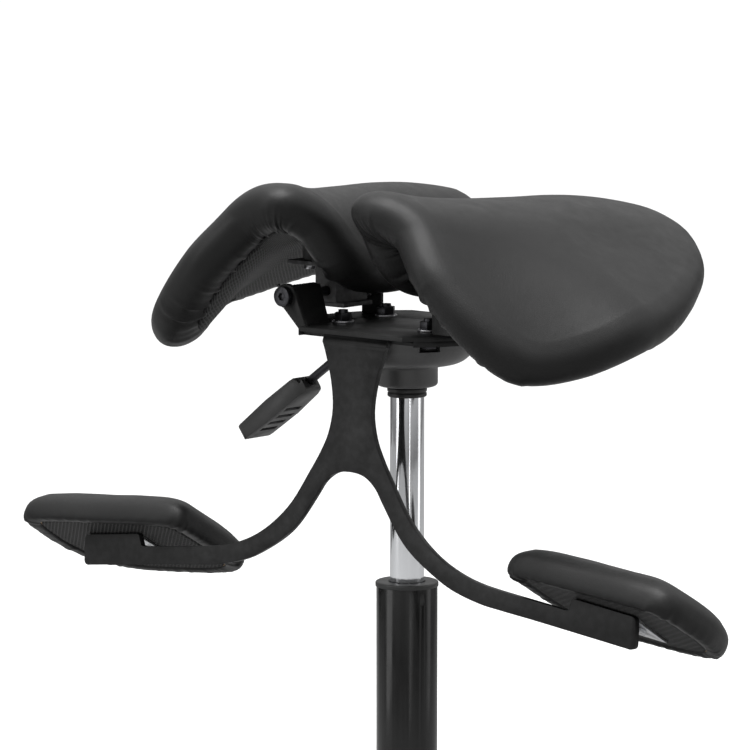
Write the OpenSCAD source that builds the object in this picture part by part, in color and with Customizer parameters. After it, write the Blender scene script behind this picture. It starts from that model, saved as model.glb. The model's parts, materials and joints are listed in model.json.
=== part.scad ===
// Kneeling massage chair with a split saddle seat on a gas lift.
// Frame: origin on the floor on the column axis, +Z up, knee supports in front at -Y,
// the sitter's left at +X. Millimetres.

/* [Gas lift] */
// Outer diameter of the fixed outer tube
outer_d = 50; // [49:0.5:52]
// Height of the outer tube's mouth above the floor
outer_top = 350; // [330:5:360]
// Diameter of the chrome pressure tube
lift_d = 28; // [27:0.5:29]

/* [Base] */
// Number of arms on the star base
arm_n = 5; // [5:1:5]
// Distance from the column axis to a caster stem
arm_r = 290; // [270:5:310]
// Diameter of a caster wheel
wheel_d = 50; // [46:1:52]

/* [Housing and plates] */
// Radius of the bell housing at its mouth
bell_r = 58; // [56:1:60]
// Radius of the round top plate of the knee frame
top_r = 88; // [84:1:92]
// Thickness of the knee frame plate
frame_t = 5; // [4:0.5:5]
// Thickness of the seat channel plate
channel_t = 3.5; // [3:0.5:3.5]

/* [Knee frame] */
// Forward lean of the bent-down plate, in degrees
frame_lean = 3; // [2:0.5:4]
// Droop of the pad tabs, in degrees
tab_droop = 7; // [6:0.5:8]

/* [Knee pads] */
// Width of a knee pad
pad_w = 172; // [165:1:178]
// Depth of a knee pad
pad_l = 114; // [106:1:116]
// Height of a knee pad's crown above its board
pad_h = 32; // [28:1:36]
// Rearward slope of a knee pad, in degrees
pad_slope = 29.5; // [29:0.5:30]

/* [Saddle seat] */
// Height of the saddle's crest above the floor
crest_z = 667.5; // [665:0.5:675]
// Rise of the horn above the crest
horn_rise = 23.5; // [20:0.5:27]
// Thickness of the foam
foam_t = 30; // [28:1:30]
// Distance of a seat hinge pin from the centre line
hinge_x = 70; // [68:1:72]
// Height of the seat hinge pins
hinge_z = 588; // [586:1:590]

/* [Hidden] */
$fn = 64;

outer_r = outer_d / 2;
lift_r = lift_d / 2;
wheel_r = wheel_d / 2;
plate_z = 556.5;                // underside of the knee frame's top plate
channel_z = plate_z + frame_t;  // underside of the seat channel
deck_z = channel_z + channel_t; // top of the seat channel

// ---------------------------------------------------------------- helpers

// one span of a Catmull-Rom curve, from start to end
function span(before, start, end, after, u) = 0.5 * (2 * start + (end - before) * u
  + (2 * before - 5 * start + 4 * end - after) * u * u
  + (3 * start - before - 3 * end + after) * u * u * u);
function open_curve(points, steps) = let(last = len(points) - 1) [
  for (i = [0 : last - 1]) for (k = [0 : steps - 1])
    span(points[max(i - 1, 0)], points[i], points[i + 1], points[min(i + 2, last)], k / steps),
  points[last]];
function closed_curve(points, steps) = let(n = len(points)) [
  for (i = [0 : n - 1]) for (k = [0 : steps - 1])
    span(points[(i + n - 1) % n], points[i], points[(i + 1) % n], points[(i + 2) % n],
      k / steps)];
function arc(x, y, radius, from, to, steps) = [for (i = [0 : steps])
  let(angle = from + (to - from) * i / steps) [x + radius * cos(angle), y + radius * sin(angle)]];
// 0 to 1 with a level start and end
function ease(x) = let(part = min(max(x, 0), 1)) part * part * (3 - 2 * part);

// an [x, z] outline extruded along Y, centred
module extrude_y(width) {
  rotate([90, 0, 0]) translate([0, 0, -width / 2]) linear_extrude(width) children();
}

// a [y, z] outline extruded along X, centred
module extrude_x(width) {
  rotate([90, 0, 90]) translate([0, 0, -width / 2]) linear_extrude(width) children();
}

// cylinder from Y = from toward the front
module forward_rod(radius, from, length) {
  translate([0, from, 0]) rotate([90, 0, 0]) cylinder(r = radius, h = length);
}

module ring(rim, bore, height, sides = $fn) {
  difference() {
    cylinder(r = rim, h = height, $fn = sides);
    translate([0, 0, -1]) cylinder(r = bore, h = height + 2);
  }
}

// the children as drawn and again turned half round the column
module both_turns() {
  for (angle = [0, 180]) rotate([0, 0, angle]) children();
}

// side 1 is the sitter's left, -1 the right
module on_side(side) { mirror([side < 0 ? 1 : 0, 0, 0]) children(); }

// closed skin over rings of equally many points, with a tip at each end;
// from ring turn_at on, the quads are split along their other diagonal
module ring_skin(tip, rings, end_tip, turn_at) {
  n = len(rings[0]);
  last_ring = 1 + (len(rings) - 1) * n;
  points = concat([tip], [for (points = rings) each points], [end_tip]);
  faces = concat(
    [for (i = [0 : n - 1]) [0, 1 + (i + 1) % n, 1 + i]],
    [for (j = [0 : len(rings) - 2]) for (i = [0 : n - 1])
      let(a = 1 + j * n + i, b = 1 + j * n + (i + 1) % n)
      each (j < turn_at ? [[a, b, b + n], [a, b + n, a + n]] : [[a, b, a + n], [b, b + n, a + n]])],
    [for (i = [0 : n - 1]) [last_ring + n, last_ring + i, last_ring + (i + 1) % n]]);
  polyhedron(points, faces, convexity = 6);
}

// ---------------------------------------------------------------- base

tube_z = 72;          // bottom of the outer tube and of its socket in the base
hub_r = 36;
hub_z = 62;
hub_h = 62;
arm_z = 76;           // underside of an arm at its tip
boss_r = 16;          // round boss at an arm's tip
boss_h = 20;
tip_x = arm_r - 6;    // end of an arm's tapered part
hollow_x = arm_r - 24; // end of the hollow under an arm
stem_r = 5.5;

// side views as [distance from the column, z], plans as [distance, across]
arm_side = [[28, 70], [tip_x, arm_z], [tip_x, 98], [200, 104], [110, 113], [28, 122]];
arm_plan = [[28, -23], [tip_x, -14.5], [tip_x, 14.5], [28, 23]];
hollow_side = [[48, 60], [hollow_x, 60], [hollow_x, 90], [200, 98], [110, 106], [48, 113]];
hollow_plan = [[48, -17.5], [hollow_x, -10.5], [hollow_x, 10.5], [48, 17.5]];

function arm_angle(i) = -90 + 360 / arm_n * i;

module tapered_bar(side, plan) {
  intersection() {
    extrude_y(80) polygon(side);
    linear_extrude(200) polygon(plan);
  }
}

module arm() {
  difference() {
    union() {
      tapered_bar(arm_side, arm_plan);
      translate([arm_r, 0, arm_z]) cylinder(r = boss_r, h = boss_h);
      translate([arm_r, 0, arm_z + boss_h]) cylinder(r1 = boss_r, r2 = 13.5, h = 2.5);
    }
    tapered_bar(hollow_side, hollow_plan);
    translate([arm_r, 0, 70]) cylinder(r = stem_r + 0.03, h = 24);
  }
}

module star_base() {
  color("dimgray") difference() {
    union() {
      translate([0, 0, hub_z]) cylinder(r = hub_r, h = hub_h);
      translate([0, 0, hub_z + hub_h]) cylinder(r1 = hub_r, r2 = 32, h = 5);
      for (i = [0 : arm_n - 1]) rotate([0, 0, arm_angle(i)]) arm();
    }
    translate([0, 0, tube_z]) cylinder(r = outer_r, h = 80);
    translate([0, 0, 50]) cylinder(r = 20, h = 40);
  }
}

// ---------------------------------------------------------------- casters

trail = 18;           // axle behind the stem
axle_r = 3;
hood_gap = 2;         // hood's inside outside the wheel's tread
hood_t = 4;
hood_half = 23;       // half the hood's width
web_half = 3;         // half the thickness of the web between the wheels
wheel_x = 4;          // inner face of a wheel from the caster's middle

// [y, z] region that keeps the upper part of the hood
hood_region = [[trail, wheel_r], [trail - 40, wheel_r + 6], [trail - 40, 80], [trail + 40, 80],
  [trail + 40, wheel_r + 2]];

// [radius, distance outward from the inner face]
wheel_profile = concat(
  [[3.05, 0], [wheel_r - 2, 0]],
  arc(wheel_r - 3, 3, 3, -90, 0, 6),
  arc(wheel_r - 4, 14, 4, 0, 90, 6),
  [[17, 18], [16, 15.5], [9, 15.5], [8, 17.5], [0, 17.5], [0, 16.2], [3.05, 16.2]]);

// casters all trail toward the rear, whatever their arm's direction
module at_caster(i) {
  translate([arm_r * cos(arm_angle(i)), arm_r * sin(arm_angle(i)), 0]) children();
}

// cylinder on the axle's line
module axle_rod(from, to, radius) {
  translate([from, trail, wheel_r]) rotate([0, 90, 0]) cylinder(r = radius, h = to - from);
}

module caster_stems() {
  color("silver") for (i = [0 : arm_n - 1]) at_caster(i) {
    translate([0, 0, 57]) cylinder(r = stem_r, h = 36);
  }
}

module hood() {
  difference() {
    union() {
      // stem socket
      translate([0, 0, 44]) cylinder(r = 11, h = 30);
      // curved cover over the wheels
      intersection() {
        difference() {
          axle_rod(-hood_half, hood_half, wheel_r + hood_gap + hood_t);
          axle_rod(-hood_half - 1, hood_half + 1, wheel_r + hood_gap);
        }
        extrude_x(60) polygon(hood_region);
      }
      // web between the wheels
      intersection() {
        axle_rod(-web_half, web_half, wheel_r + 4);
        translate([-10, -60, wheel_r - 8]) cube([20, 120, 60]);
      }
    }
    // room for the wheels
    axle_rod(web_half + 0.4, 30, wheel_r + 1.8);
    axle_rod(-30, -web_half - 0.4, wheel_r + 1.8);
    axle_rod(-10, 10, axle_r);
    translate([0, 0, 56.5]) cylinder(r = stem_r + 0.05, h = 30);
  }
}

module axle() { axle_rod(-19.5, 19.5, axle_r); }

module wheel() {
  translate([wheel_x, trail, wheel_r]) rotate([0, 90, 0])
    rotate_extrude($fn = 72) polygon(wheel_profile);
}

module wheels() {
  wheel();
  mirror([1, 0, 0]) wheel();
}

module caster_hood_1() { color("black") at_caster(0) hood(); }
module caster_hood_2() { color("black") at_caster(1) hood(); }
module caster_hood_3() { color("black") at_caster(2) hood(); }
module caster_hood_4() { color("black") at_caster(3) hood(); }
module caster_hood_5() { color("black") at_caster(4) hood(); }

module caster_axles_1() { color("silver") at_caster(0) axle(); }
module caster_axles_2() { color("silver") at_caster(1) axle(); }
module caster_axles_3() { color("silver") at_caster(2) axle(); }
module caster_axles_4() { color("silver") at_caster(3) axle(); }
module caster_axles_5() { color("silver") at_caster(4) axle(); }

module caster_wheels_1() { color("black") at_caster(0) wheels(); }
module caster_wheels_2() { color("black") at_caster(1) wheels(); }
module caster_wheels_3() { color("black") at_caster(2) wheels(); }
module caster_wheels_4() { color("black") at_caster(3) wheels(); }
module caster_wheels_5() { color("black") at_caster(4) wheels(); }

// ---------------------------------------------------------------- gas lift

tube_wall = 2;        // wall of the outer tube and of the pressure tube
rod_r = 4;            // piston rod
rod_z = 66;
bush_h = 62;
race_r = 16;
race_t = 3;
race_z = tube_z + 3;  // lower race, on the outer tube's floor
ball_r = 2.5;
ball_gap = 0.05;      // between a ball and a race
ball_z = race_z + race_t + ball_r + ball_gap;
upper_race_z = ball_z + ball_r + ball_gap;
lift_z = 235;         // bottom of the pressure tube
lift_h = 301;
valve_r = 3.5;

module outer_tube() {
  color("black") difference() {
    translate([0, 0, tube_z]) cylinder(r = outer_r, h = outer_top - tube_z);
    translate([0, 0, race_z]) cylinder(r = outer_r - tube_wall, h = outer_top);
    translate([0, 0, 60]) cylinder(r = rod_r + 0.08, h = 30);
    // three small stake marks that hold the guide bush
    for (k = [0 : 2]) rotate([0, 0, -20 + 120 * k])
      translate([outer_r - 0.8, 0, outer_top - 12]) rotate([0, 90, 0])
        cylinder(r = 2, h = 4, $fn = 24);
  }
}

module guide_bush() {
  color("darkslategray") difference() {
    translate([0, 0, outer_top - bush_h]) cylinder(r = outer_r - tube_wall, h = bush_h);
    translate([0, 0, outer_top - 70]) cylinder(r = lift_r + 0.05, h = 90);
  }
}

module tube_top_ring() {
  // [radius, height above the mouth]
  profile = concat([[lift_r + 0.6, 0], [outer_r + 0.8, 0]], arc(outer_r - 0.7, 2.5, 1.5, 0, 90, 5),
    [[lift_r + 1.6, 4], [lift_r + 0.6, 3]]);
  color("black") translate([0, 0, outer_top]) rotate_extrude($fn = 96) polygon(profile);
}

module bearing_race_lower() { color("silver") translate([0, 0, race_z]) ring(race_r, 5, race_t); }

module bearing_balls() {
  color("silver") for (k = [0 : 7]) rotate([0, 0, 45 * k])
    translate([11, 0, ball_z]) sphere(r = ball_r, $fn = 32);
}

module bearing_race_upper() {
  color("silver") translate([0, 0, upper_race_z]) ring(race_r, rod_r, race_t);
}

module piston_rod() {
  color("silver") {
    translate([0, 0, rod_z]) cylinder(r = rod_r, h = 239);
    // collar on the upper race
    translate([0, 0, upper_race_z + race_t]) cylinder(r = 8, h = 3);
  }
}

module rod_clip() { color("silver") translate([0, 0, 69.4]) ring(9, rod_r, 2.2); }

module piston_head() {
  color("darkslategray") translate([0, 0, 291]) ring(lift_r - tube_wall - 0.05, rod_r, 12);
}

module pressure_tube() {
  color("silver") difference() {
    translate([0, 0, lift_z]) cylinder(r = lift_r, h = lift_h);
    translate([0, 0, lift_z - 5]) cylinder(r = lift_r - tube_wall, h = lift_h - 5);
    translate([0, 0, 500]) cylinder(r = valve_r + 0.05, h = 60);
  }
}

module tube_end_guide() {
  color("darkslategray") translate([0, 0, lift_z]) ring(lift_r - tube_wall, rod_r + 0.06, 15);
}

module valve_pin() { color("silver") translate([0, 0, 512]) cylinder(r = valve_r, h = 32.4); }

module retaining_ring() {
  // [radius, height above the ring's underside]
  profile = [[lift_r, 0], [15.4, 0], [16, 0.6], [16, 2.9], [15.3, 3.4], [15.3, 3.9], [16.2, 4.4],
    [16.2, 7], [15.6, 7.6], [lift_r, 7.6]];
  color("black") translate([0, 0, 505.8]) rotate_extrude($fn = 80) polygon(profile);
}

// ---------------------------------------------------------------- bell housing

bolt_x = 45;          // plate bolts from the centre lines
bolt_y = 27;
bolt_r = 4;
bolt_hole_r = 4.2;
lever_z = 547;        // lever pivot height
pivot_x = -22;        // lever pivot from the column
pivot_r = 2.5;
bell_curve = bell_r - 38; // radius of the bell's outer curve

// [radius, z]
bell_profile = concat(
  [[lift_r, 514.5], [22.5, 514.5]],
  arc(22, 517.5, 3, -90, 0, 6),
  [[25, 529], [25.6, 530.4], [27, 531.4], [36, 533]],
  arc(36, 533 + bell_curve, bell_curve, -84, -6, 14),
  [[bell_r, plate_z], [38, plate_z], [38, 537], [lift_r, 537]]);

module at_bolts(z) {
  for (x = [bolt_x, -bolt_x]) for (y = [bolt_y, -bolt_y]) translate([x, y, z]) children();
}

module bolt_holes() { at_bolts(540) cylinder(r = bolt_hole_r, h = 60); }

// cylinder on the lever's pivot line
module pivot_rod(radius, length) {
  translate([pivot_x, 0, lever_z]) forward_rod(radius, length / 2, length);
}

module bell_housing() {
  color("dimgray") difference() {
    rotate_extrude($fn = 128) polygon(bell_profile);
    // room for the plate bolts' heads
    at_bolts(548) cylinder(r = 9, h = 20);
    // slot for the height lever
    translate([-70, -6.5, 536.2]) cube([40, 13, 30]);
    pivot_rod(pivot_r, 100);
  }
}

module lever_pivot_pin() { color("silver") pivot_rod(pivot_r, 80); }

// ---------------------------------------------------------------- height lever

lever_bend_x = -52.5;
lever_slope = 36;     // of the outer part below level, in degrees
lever_r = 3.6;
lever_length = 96;    // outer part, from the bend
grip_start = 64;      // near end of the grip, from the bend

// grip outlines; Z runs along the grip from its near end
grip_side = concat( // [x, z]
  arc(3.5, 3.5, 3, 180, 270, 5), [[-5.5, 0.5]],
  arc(-5.5, 3.5, 3, 270, 180, 5), [[-9.5, 40]],
  arc(-4, 78, 4.5, 180, 90, 6),
  arc(0, 78, 4.5, 90, 0, 6), [[6.5, 40], [7, 6]]);
grip_plan = concat( // [y, z]
  [[-9, 0], [9, 0], [13, 10], [15.5, 40]],
  arc(8.5, 75, 7.5, 0, 90, 6),
  arc(-8.5, 75, 7.5, 90, 180, 6), [[-15.5, 40], [-13, 10]]);

// frame of the outer part: origin at the bend, +Z along the rod away from the column,
// +X up and outward
module lever_down() {
  translate([lever_bend_x, 0, lever_z]) rotate([0, -90 - lever_slope, 0]) children();
}

module lever_rod() {
  color("black") difference() {
    union() {
      pivot_rod(6, 12);
      // flat tongue over the valve pin
      translate([pivot_x, -3.5, lever_z - 2.2]) cube([27, 7, 4.4]);
      translate([lever_bend_x, 0, lever_z]) rotate([0, 90, 0])
        cylinder(r = lever_r, h = pivot_x - lever_bend_x);
      translate([lever_bend_x, 0, lever_z]) sphere(r = lever_r);
      lever_down() cylinder(r = lever_r, h = lever_length);
    }
    pivot_rod(pivot_r + 0.05, 100);
  }
}

module lever_grip() {
  color("black") lever_down() difference() {
    translate([0, 0, grip_start]) intersection() {
      extrude_y(40) polygon(grip_side);
      extrude_x(40) polygon(grip_plan);
    }
    translate([0, 0, 60]) cylinder(r = lever_r, h = lever_length - 60);
    // finger slots on the underside
    for (k = [0 : 3]) translate([-12, -10, 92 + 11 * k]) cube([5, 20, 5]);
  }
}

// ---------------------------------------------------------------- knee frame

bend_r = 8;           // outside of the bend
bend_y = -58;         // centre of the bend
bend_z = channel_z - bend_r;
neck_w = 67;          // width of the plate at the bend
relief_x = 36;        // reliefs beside the bend, from the centre line
relief_r = 2.6;
pad_x = 258;          // middle of a pad tab
tab_bolt_x = 11;      // tab bolts from the tab's middle

// outlines of the bent-down plate's +X half as [x, z], before it leans
outer_edge = open_curve([[33.5, 553.8], [29.5, 544], [23, 523], [20.3, 501], [24, 481],
  [31.6, 465], [43, 447], [60.4, 421.5], [79, 403.5], [98.4, 390.5], [118.8, 381.8],
  [138, 376.8], [160, 373.6], [190, 370.2], [222, 366.6]], 4);
tab_edge = concat([[225.5, 367]],
  arc(231, 373.2, 3, 180, 97, 5),
  arc(286.6, 365.4, 4, 83, 0, 5),
  arc(286.6, 347.8, 4, 0, -97, 5));
crotch_edge = open_curve([[226, 351], [190, 355.2], [160, 358.4], [137, 361.4], [109, 368.8],
  [86.2, 380], [66, 393], [52, 406.5], [36, 428], [27.5, 440], [18, 447.6], [9, 450.6],
  [0, 451.3]], 4);

// height of a tab's bolt line
function tab_mid(x) = 360.4 - (x - 250) * tan(tab_droop);

// frame of the bent-down plate, origin at the bend's centre
module lean() { translate([0, bend_y, bend_z]) rotate([-frame_lean, 0, 0]) children(); }

module at_tab_bolts(side) {
  on_side(side) for (x = [pad_x - tab_bolt_x, pad_x + tab_bolt_x])
    lean() translate([x, 0, tab_mid(x) - bend_z]) children();
}

module frame_profile() {
  half = concat(outer_edge, tab_edge, crotch_edge);
  // the last point lies on the centre line and isn't repeated
  polygon(concat(half, [for (i = [len(half) - 2 : -1 : 0]) [-half[i][0], half[i][1]]]));
}

module frame_bend() {
  intersection() {
    translate([-neck_w / 2, bend_y, bend_z]) rotate([0, 90, 0])
      ring(bend_r, bend_r - frame_t, neck_w);
    translate([0, bend_y, bend_z]) extrude_x(80)
      polygon([[0, 0], [0, 20], [-20, 20], [-20, 20 * tan(frame_lean)]]);
  }
}

module knee_frame() {
  color("dimgray") difference() {
    union() {
      // round top plate with a straight front
      translate([0, 0, plate_z]) linear_extrude(frame_t) difference() {
        circle(r = top_r, $fn = 160);
        translate([-120, -200]) square([240, 136]);
      }
      translate([-neck_w / 2, bend_y, plate_z]) cube([neck_w, 10, frame_t]);
      frame_bend();
      // bent-down plate with its two arms and tabs
      lean() translate([0, frame_t - bend_r, -bend_z]) rotate([90, 0, 0])
        linear_extrude(frame_t) frame_profile();
    }
    // reliefs beside the bend
    for (side = [-1, 1]) {
      translate([side * relief_x, -62, plate_z - 10]) cylinder(r = relief_r, h = 30, $fn = 32);
      translate([side * relief_x - relief_r, -80, plate_z - 2]) cube([2 * relief_r, 18, 30]);
    }
    // straight trim of the top plate's front, clear of the neck
    translate([-60, -80, plate_z - 2]) difference() {
      cube([120, 21.9, 30]);
      translate([60 - neck_w / 2, -1, -1]) cube([neck_w, 30, 40]);
    }
    bolt_holes();
    // blind tapped holes for the pad brackets
    for (side = [-1, 1]) at_tab_bolts(side) forward_rod(3, -2, 5);
  }
}

// ---------------------------------------------------------------- seat channel

pin_r = 4;            // hinge pins
nut_r = 7.5;          // across the corners, from the middle
washer_t = 1.6;
bolt_head_h = 5.3;

// Outlines as [x, z] on the sitter's right
flange_outline = [[-52.5, channel_z], [-49, channel_z], [-49, deck_z], [-51.2, deck_z],
  [-53.4, deck_z + 1.2], [-63, 596], [-66.3, 595], [-56.5, deck_z - 0.5], [-55, channel_z + 1.2]];
flange_ear_outline = [[-hinge_x - 9.5, hinge_z - 3], [-56, channel_z + 1],
  [-49, channel_z + 1], [-49, deck_z], [-60.3, hinge_z + 2]];

// hinge ear centred on y; its foot is a 2D child
module ear(y) {
  translate([0, y, 0]) extrude_y(4) union() {
    translate([-hinge_x, hinge_z]) circle(r = 10);
    children();
  }
}

module at_hinge() { translate([-hinge_x, 0, hinge_z]) children(); }

module seat_channel() {
  color("dimgray") difference() {
    union() {
      translate([0, 0, channel_z]) linear_extrude(channel_t) intersection() {
        circle(r = 92, $fn = 160);
        both_turns() translate([-52, -73]) square([150, 74]);
      }
      both_turns() {
        // leaning side flange
        translate([0, -51.9, 0]) extrude_y(34) polygon(flange_outline);
        // ear at the flange's end, and a straight ear facing it
        ear(-67) polygon(flange_ear_outline);
        ear(39) translate([-hinge_x - 10, channel_z + 1]) square([20, hinge_z - channel_z - 1]);
      }
    }
    bolt_holes();
    both_turns() at_hinge() forward_rod(pin_r, 100, 200);
  }
}

module plate_bolts() {
  color("dimgray") at_bolts(plate_z) {
    translate([0, 0, -bolt_head_h]) cylinder(r = 7.5, h = bolt_head_h, $fn = 6);
    translate([0, 0, -0.1]) cylinder(r = bolt_r, h = 19);
  }
}

module plate_nuts() { color("black") at_bolts(deck_z + washer_t) ring(nut_r, bolt_r, 6.5, 6); }

module plate_washers() { color("silver") at_bolts(deck_z) ring(9, bolt_hole_r, washer_t); }

// right pin along Y: socket head in front of the front ear
module hinge_pin() {
  difference() {
    union() {
      at_hinge() forward_rod(pin_r, 47, 117);
      at_hinge() forward_rod(8, -69, 5.5);
    }
    at_hinge() forward_rod(3.4, -72, 6, $fn = 6);
  }
}

module hinge_pin_right() { color("dimgray") hinge_pin(); }
// turned half round, so its head is at the rear
module hinge_pin_left() { color("dimgray") rotate([0, 0, 180]) hinge_pin(); }

module hinge_nuts() {
  color("silver") both_turns() at_hinge()
    translate([0, 48, 0]) rotate([90, 0, 0]) ring(nut_r, pin_r, 6.6, 6);
}

// ---------------------------------------------------------------- knee pads

pad_y = -48.5;
pad_z = 361.5;
pad_yaw = -7;         // outer ends swept forward
board_t = 9;
bracket_t = 3;        // sheet thickness of a pad bracket
bracket_l = 30;       // reach of a bracket's sloping plate
bracket_gap = 0.05;   // between a bracket and its board
screw_x = 14;         // pad screws from the pad's middle
screw_y = 8;
// front of a pad bracket's leg, just behind the leaning tab
pad_lip = bend_y - 3 - (bend_z - pad_z) * sin(frame_lean) + 0.3 - pad_y;

// [outward, rearward] as shares of half the width and half the depth
pad_shape = [[-0.55, -1], [0, -1], [0.6, -1], [0.93, -0.88], [1, -0.35], [0.97, 0.2],
  [0.8, 0.72], [0.4, 0.97], [-0.1, 1], [-0.6, 0.96], [-0.92, 0.75], [-1, 0.2],
  [-0.99, -0.5], [-0.92, -0.92]];
pad_outline = closed_curve([for (p = pad_shape) [p[0] * pad_w / 2, p[1] * pad_l / 2]], 3);
pad_scales = [0.35, 0.6, 0.78, 0.9, 0.97, 1]; // rings of the crown, as shares of the outline

function pad_crown(scale) = pad_h - (pad_h - 17) * pow(scale, 4);
function pad_ring(scale, z) = [for (p = pad_outline) [p[0] * scale, p[1] * scale, z]];
// [y, z] in the tab's frame, a distance straight below the board's underside
function under_board(y, below) = [y, -y * tan(pad_slope) - below];

// frame of a tab: X outward along it, Y to the rear
module pad_tab(side) {
  on_side(side) translate([pad_x, pad_y, pad_z]) rotate([0, tab_droop, 0]) children();
}

// frame of a pad: X outward, Y rearward, Z out of the padding
module pad_frame(side) {
  pad_tab(side) rotate([-pad_slope, 0, 0]) rotate([0, 0, pad_yaw]) children();
}

module at_pad_screws(z) {
  for (x = [-screw_x, screw_x]) translate([x, screw_y, z]) children();
}

module pad_cushion() {
  under_z = board_t + 0.3;
  rings = concat([for (scale = pad_scales) pad_ring(scale, pad_crown(scale))],
    [pad_ring(0.97, under_z)]);
  ring_skin([0, 0, pad_h], rings, [0, 0, under_z], len(rings));
}

module pad_board() {
  difference() {
    linear_extrude(board_t) polygon([for (p = pad_outline) p * 0.93]);
    at_pad_screws(-1) cylinder(r = 2.4, h = 8);
  }
}

// short upright leg behind the tab, and a sloping plate under the board
module pad_bracket(side) {
  drop = bracket_t / cos(pad_slope);
  end_y = bracket_l * cos(pad_slope);
  difference() {
    pad_tab(side) extrude_x(52) polygon([
      [pad_lip - 0.7, -13], [pad_lip - 0.7 + bracket_t, -13],
      under_board(pad_lip + 2.9, drop), under_board(end_y - bracket_t * sin(pad_slope), drop),
      under_board(end_y, bracket_gap), under_board(pad_lip + 0.5, bracket_gap)]);
    pad_frame(side) at_pad_screws(-12) cylinder(r = 2.7, h = 14);
    at_tab_bolts(side) forward_rod(3.5, 12, 20);
  }
}

module pad_cushion_right() { color("black") pad_frame(-1) pad_cushion(); }
module pad_cushion_left() { color("black") pad_frame(1) pad_cushion(); }
module pad_board_right() { color("burlywood") pad_frame(-1) pad_board(); }
module pad_board_left() { color("burlywood") pad_frame(1) pad_board(); }
module pad_bracket_right() { color("silver") pad_bracket(-1); }
module pad_bracket_left() { color("silver") pad_bracket(1); }

module pad_bolts() {
  color("silver") for (side = [1, -1]) at_tab_bolts(side) {
    forward_rod(5.6, 4.9, 4, $fn = 6);
    forward_rod(3, 1, 7.6);
  }
}

module pad_screws() {
  color("silver") for (side = [-1, 1]) pad_frame(side) {
    at_pad_screws(-6.6) cylinder(r = 5, h = 3.4);
    at_pad_screws(-3.4) cylinder(r = 2.4, h = 9);
  }
}

// ---------------------------------------------------------------- saddle seat

// Each half of the saddle is a curved sheet. S runs across it from the crest, positive outward
// to the flap; T runs along Y. The half at +X is drawn and the other is its mirror image.
inner_slope = 66.7;   // steepest slope on the inner side, in degrees
normal_step = 2;      // reach of the differences that give the sheet's normal

// crest line: its x and its height, with the horn in front and a fall at the rear
function crest_x(t) = 91.4 - 50.4 * exp(-(t + 104) / 96);
function crest_h(t) = crest_z + horn_rise * exp(-(t + 110) / 45)
  - (t > 60 ? 14 * pow((t - 60) / 120, 2) : 0);
// bend radii either side of the crest, and the flap's final slope
function inner_r(t) = 47.2 + 6 * ease(t / 100);
function flank_r(t) = 89 + 47 * ease((t + 90) / 100);
function flank_slope(t) = 46.1 - 14.4 * ease((t + 90) / 100);
// [across, up] on an arc that bends down to a slope, then runs straight
function bow(s, radius, slope) = let(arc_length = radius * slope * PI / 180)
  s < arc_length
  ? let(angle = s / radius * 180 / PI) [radius * sin(angle), -radius * (1 - cos(angle))]
  : [radius * sin(slope) + (s - arc_length) * cos(slope),
     -radius * (1 - cos(slope)) - (s - arc_length) * sin(slope)];
function sheet(s, t) =
  let(b = s >= 0 ? bow(s, flank_r(t), flank_slope(t)) : bow(-s, inner_r(t), inner_slope))
  [crest_x(t) + (s >= 0 ? b[0] : -b[0]), t, crest_h(t) + b[1]];
function sheet_normal(s, t) = let(n = cross(
    sheet(s + normal_step, t) - sheet(s - normal_step, t),
    sheet(s, t + normal_step) - sheet(s, t - normal_step))) n / norm(n);
function at_depth(s, t, depth) = sheet(s, t) - depth * sheet_normal(s, t);

// middle and outline of the seat as [S, T]
seat_mid = [40, 30];
seat_outline = closed_curve([[68, -113], [137, -125.3], [199, -109], [209, -60], [200, 1.5],
  [182, 51.7], [153, 103], [114.5, 153], [67.6, 184], [9.4, 185], [-52, 163.5], [-90.6, 119],
  [-104, 57], [-103, -6], [-90, -47], [-51, -79.7], [1, -105]], 3);

function seat_ring(scale, depth) = [for (p = seat_outline)
  let(q = seat_mid + (p - seat_mid) * scale) at_depth(q[0], q[1], depth)];
// rings of a layer's flat face, as [share of the outline, depth]
function flat_face(depth) = [for (scale = [0.3, 0.6, 0.86]) [scale, depth]];

// closed layer of the sheet between an outer and an inner face, each a list of [share, depth]
module seat_layer(outer, inner) {
  steps = concat(outer, [for (j = [len(inner) - 1 : -1 : 0]) inner[j]]);
  ring_skin(at_depth(seat_mid[0], seat_mid[1], outer[0][1]),
    [for (step = steps) seat_ring(step[0], step[1])],
    at_depth(seat_mid[0], seat_mid[1], inner[0][1]), len(outer));
}

cover_depth = foam_t + 7.4; // inner face of the dust cover
mount_z = 608;        // underside of a bracket's mounting plate
block_y = -19;        // front of a bracket's hinge block
block_l = 40;
// fastening points of the shell as [S, T], where their screws end, and their bosses' tops
seat_fix = [[27, -14], [27, 30], [4, 32], [14, 56]];
screw_ends = [for (q = seat_fix) at_depth(q[0], q[1], foam_t + 3)];
boss_tops = [for (q = seat_fix) at_depth(q[0], q[1], cover_depth)[2] - 3.2];

module fix_holes(radius) {
  for (end = screw_ends) translate([end[0], end[1], 560]) cylinder(r = radius, h = 120);
}

module cushion_half() {
  seat_layer(
    [[0.3, 0], [0.55, 0], [0.75, 0], [0.87, 0.6], [0.94, 3], [0.98, 8], [1, foam_t / 2]],
    concat(flat_face(foam_t), [[0.96, foam_t - 5]]));
}

module shell_half() {
  difference() {
    seat_layer(flat_face(foam_t + 0.8), flat_face(foam_t + 5.2));
    fix_holes(3.05, $fn = 32);
  }
}

module cover_half() {
  difference() {
    seat_layer(flat_face(foam_t + 6.2), flat_face(cover_depth));
    fix_holes(3.6, $fn = 32);
  }
}

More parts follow.
